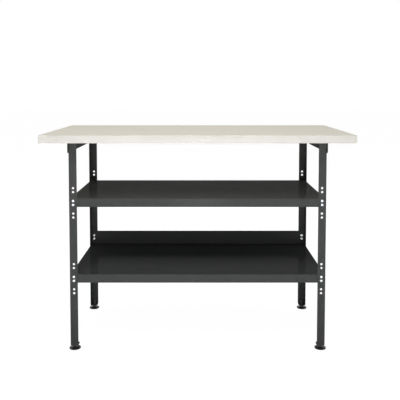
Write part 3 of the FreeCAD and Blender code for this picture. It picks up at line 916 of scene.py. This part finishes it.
class TABLE_OT_studs(bpy.types.Operator):
    """Levelling screws: a threaded stud, a chamfered hexagon collar and the head in the pad"""
    bl_idname = "table.studs"
    bl_label = "Levelling screws"
    bl_options = {"REGISTER", "UNDO"}

    def execute(self, context):
        size = context.scene.table_feet
        radius = size.stud / 2
        low, high = (corner.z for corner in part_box("foot_stud_rear_right"))
        overlap = 0.001                             # how far one part reaches into the next
        chamfer, chamfer_share = 0.0004, 0.84       # of the collar
        head_height, head_rounding = 0.003, 0.0006
        stud = add_thread("stud", radius, size.stud_pitch, COLLAR_HIGH - overlap, high, 28)
        tip = add_round("tip", radius * 1.02, low, high, 28)
        edit()
        pick("edges", rim_at(high))
        bpy.ops.mesh.bevel(offset=size.stud_pitch * 0.7, segments=1, affect="EDGES")
        leave_edit()
        carve(stud, tip, "INTERSECT")
        collar = add_hexagon(
            "collar", size.collar, COLLAR_LOW, COLLAR_HIGH, chamfer, chamfer_share)
        carve(stud, collar, "UNION")
        neck = add_round("neck", radius, low + overlap / 2, COLLAR_LOW + overlap, 28)
        carve(stud, neck, "UNION")
        head = add_round("head", size.stud_head / 2, low, low + head_height, 36)
        soften(head, head_rounding)
        carve(stud, head, "UNION")
        fit_feet(smooth(close(stud), angle=28.0), "stud", "stud", "black_oxide")
        return {"FINISHED"}


class TABLE_OT_pads(bpy.types.Operator):
    """Moulded foot pads with rounded rims"""
    bl_idname = "table.pads"
    bl_label = "Foot pads"
    bl_options = {"REGISTER", "UNDO"}

    def execute(self, context):
        low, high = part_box("foot_pad_rear_right")
        radius = (high.x - low.x) / 2
        rim = 0.004                                 # top of the upright edge
        shoulder, shoulder_share = 0.0012, 0.93     # first slope above it
        hub_foot, hub, hub_share = 0.007, 0.009, 0.94
        bore = 0.00505                              # round the stud's neck
        hollow, hollow_top = 0.0078, 0.0056         # round the stud's head
        recess, recess_top = 0.0196, 0.002          # over the sole
        pad = add_round("pad", radius, low.z, rim, 64)
        edit()
        pick("faces", face_at(rim))
        step(shoulder, shoulder_share)
        step(hub_foot - rim - shoulder, hub / (radius * shoulder_share))
        step(high.z - hub_foot, hub_share)
        bpy.ops.mesh.inset(thickness=hub * hub_share - bore)
        step(hollow_top - high.z)
        step(0, hollow / bore)
        step(recess_top - hollow_top)
        bpy.ops.mesh.delete(type="FACE")
        pick("faces", face_at(low.z))
        bpy.ops.mesh.inset(thickness=radius - recess)
        step(recess_top - low.z)
        bpy.ops.mesh.inset(thickness=recess - hollow)
        bpy.ops.mesh.delete(type="FACE")
        leave_edit()
        close(pad)
        soften(pad, width=0.0007, segments=3, angle=25.0)
        fit_feet(smooth(close(pad), angle=40.0), "pad", "foot", "foot_plastic")
        return {"FINISHED"}


class TABLE_OT_soles(bpy.types.Operator):
    """Finish the rubber soles"""
    bl_idname = "table.soles"
    bl_label = "Soles"
    bl_options = {"REGISTER", "UNDO"}

    def execute(self, context):
        coat_nodes("sole_rubber", *[f"foot_sole_{corner}" for corner in CORNERS])
        return {"FINISHED"}


class TABLE_OT_stage(bpy.types.Operator):
    """White floor and background, soft lamps and the camera"""
    bl_idname = "table.stage"
    bl_label = "Stage"
    bl_options = {"REGISTER", "UNDO"}

    def shown(self, graph):
        """1 for what the camera sees, directly, in gloss or through glass."""
        outputs = graph.node("ShaderNodeLightPath").socket.node.outputs
        seen = Value(graph, outputs["Is Camera Ray"])
        for ray in ("Is Glossy Ray", "Is Transmission Ray"):
            seen = seen.larger(Value(graph, outputs[ray]))
        return seen

    def make_world(self, scene):
        """Even light from all round, which is seen as plain white."""
        scene.world = bpy.data.worlds.new("studio")
        sky = Graph(scene.world)
        strength = scene.table_stage.sky
        even = sky.node("ShaderNodeBackground", None, {"Color": SKY, "Strength": strength})
        white = sky.node("ShaderNodeBackground", None, {"Color": WHITE})
        both = sky.node("ShaderNodeMixShader", None, {0: self.shown(sky), 1: even, 2: white})
        sky.node("ShaderNodeOutputWorld", None, {"Surface": both})

    def make_floor(self):
        """A wide floor of pale paper, which is seen as white with faint shadows."""
        bpy.ops.object.select_all(action="DESELECT")
        bpy.ops.mesh.primitive_plane_add(size=FLOOR_SIZE, location=(0, 0, -FLOOR_DROP))
        floor = settle("floor")
        material = bpy.data.materials.new("floor_paper")
        floor.data.materials.append(material)
        paper = Graph(material)
        plain = paper.node("ShaderNodeBsdfDiffuse", None, {"Color": PAPER})
        shade = paper.node("ShaderNodeBsdfDiffuse", None, {"Color": SHADE})
        glow = paper.node("ShaderNodeEmission", None, {"Strength": FLOOR_GLOW})
        bright = paper.node("ShaderNodeAddShader", None, {0: shade, 1: glow})
        both = paper.node(
            "ShaderNodeMixShader", None, {0: self.shown(paper), 1: plain, 2: bright})
        paper.node("ShaderNodeOutputMaterial", None, {"Surface": both})

    def make_lamp(self, name, place, target, size, in_gloss, energy):
        """A large round lamp that points at a target and isn't seen itself."""
        bpy.ops.object.light_add(type="AREA", location=place)
        lamp = bpy.context.object
        lamp.name = name
        lamp.data.shape = "DISK"
        lamp.data.size = size
        lamp.data.energy = energy
        lamp.visible_camera = False
        lamp.visible_glossy = in_gloss
        way = Vector(target) - Vector(place)
        lamp.rotation_euler = way.to_track_quat("-Z", "Y").to_euler()

    def make_camera(self, scene):
        """The camera, level apart from its tilt."""
        stage = scene.table_stage
        bpy.ops.object.camera_add(
            location=stage.camera, rotation=(math.pi / 2 - stage.tilt, 0, 0))
        camera = bpy.context.object
        camera.data.sensor_width = SENSOR
        camera.data.lens = stage.lens
        camera.data.shift_y = stage.shift
        camera.data.clip_end = FAR_CLIP
        scene.camera = camera

    def execute(self, context):
        scene = context.scene
        self.make_world(scene)
        self.make_floor()
        for name, lamp in LAMPS.items():
            self.make_lamp(name, *lamp, getattr(scene.table_stage, name))
        self.make_camera(scene)
        scene.view_settings.view_transform = "Standard"
        return {"FINISHED"}


class TABLE_PT_panel(bpy.types.Panel):
    """The table's pieces and settings"""
    bl_idname = "TABLE_PT_panel"
    bl_label = "Assembly Table"
    bl_space_type = "VIEW_3D"
    bl_region_type = "UI"
    bl_category = "Table"

    def draw(self, context):
        for operator in OPERATORS:
            self.layout.operator(operator.bl_idname)
        for name in SETTINGS:
            box = self.layout.box()
            group = getattr(context.scene, name)
            for key in group.bl_rna.properties.keys():
                if key not in ("rna_type", "name"):
                    box.prop(group, key)


OPERATORS = (
    TABLE_OT_worktop, TABLE_OT_bands, TABLE_OT_frame, TABLE_OT_welds, TABLE_OT_shelves,
    TABLE_OT_bolts, TABLE_OT_nuts, TABLE_OT_screws, TABLE_OT_studs, TABLE_OT_pads,
    TABLE_OT_soles, TABLE_OT_stage,
)
SETTINGS = {
    "table_finishes": TableFinishes,
    "table_fasteners": TableFasteners,
    "table_feet": TableFeet,
    "table_stage": TableStage,
}


def register():
    """Register the settings, the operators and the panel."""
    for group in (*SETTINGS.values(), *OPERATORS, TABLE_PT_panel):
        bpy.utils.register_class(group)
    for name, group in SETTINGS.items():
        setattr(bpy.types.Scene, name, PointerProperty(type=group))


def unregister():
    """Take out what register put in."""
    for name in SETTINGS:
        delattr(bpy.types.Scene, name)
    for group in reversed((*SETTINGS.values(), *OPERATORS, TABLE_PT_panel)):
        bpy.utils.unregister_class(group)


def main():
    """Make all the pieces and the stage."""
    register()
    bpy.ops.table.worktop()
    bpy.ops.table.bands()
    bpy.ops.table.frame()
    bpy.ops.table.welds()
    bpy.ops.table.shelves()
    bpy.ops.table.bolts()
    bpy.ops.table.nuts()
    bpy.ops.table.screws()
    bpy.ops.table.studs()
    bpy.ops.table.pads()
    bpy.ops.table.soles()
    bpy.ops.table.stage()


if __name__ == "__main__":
    main()
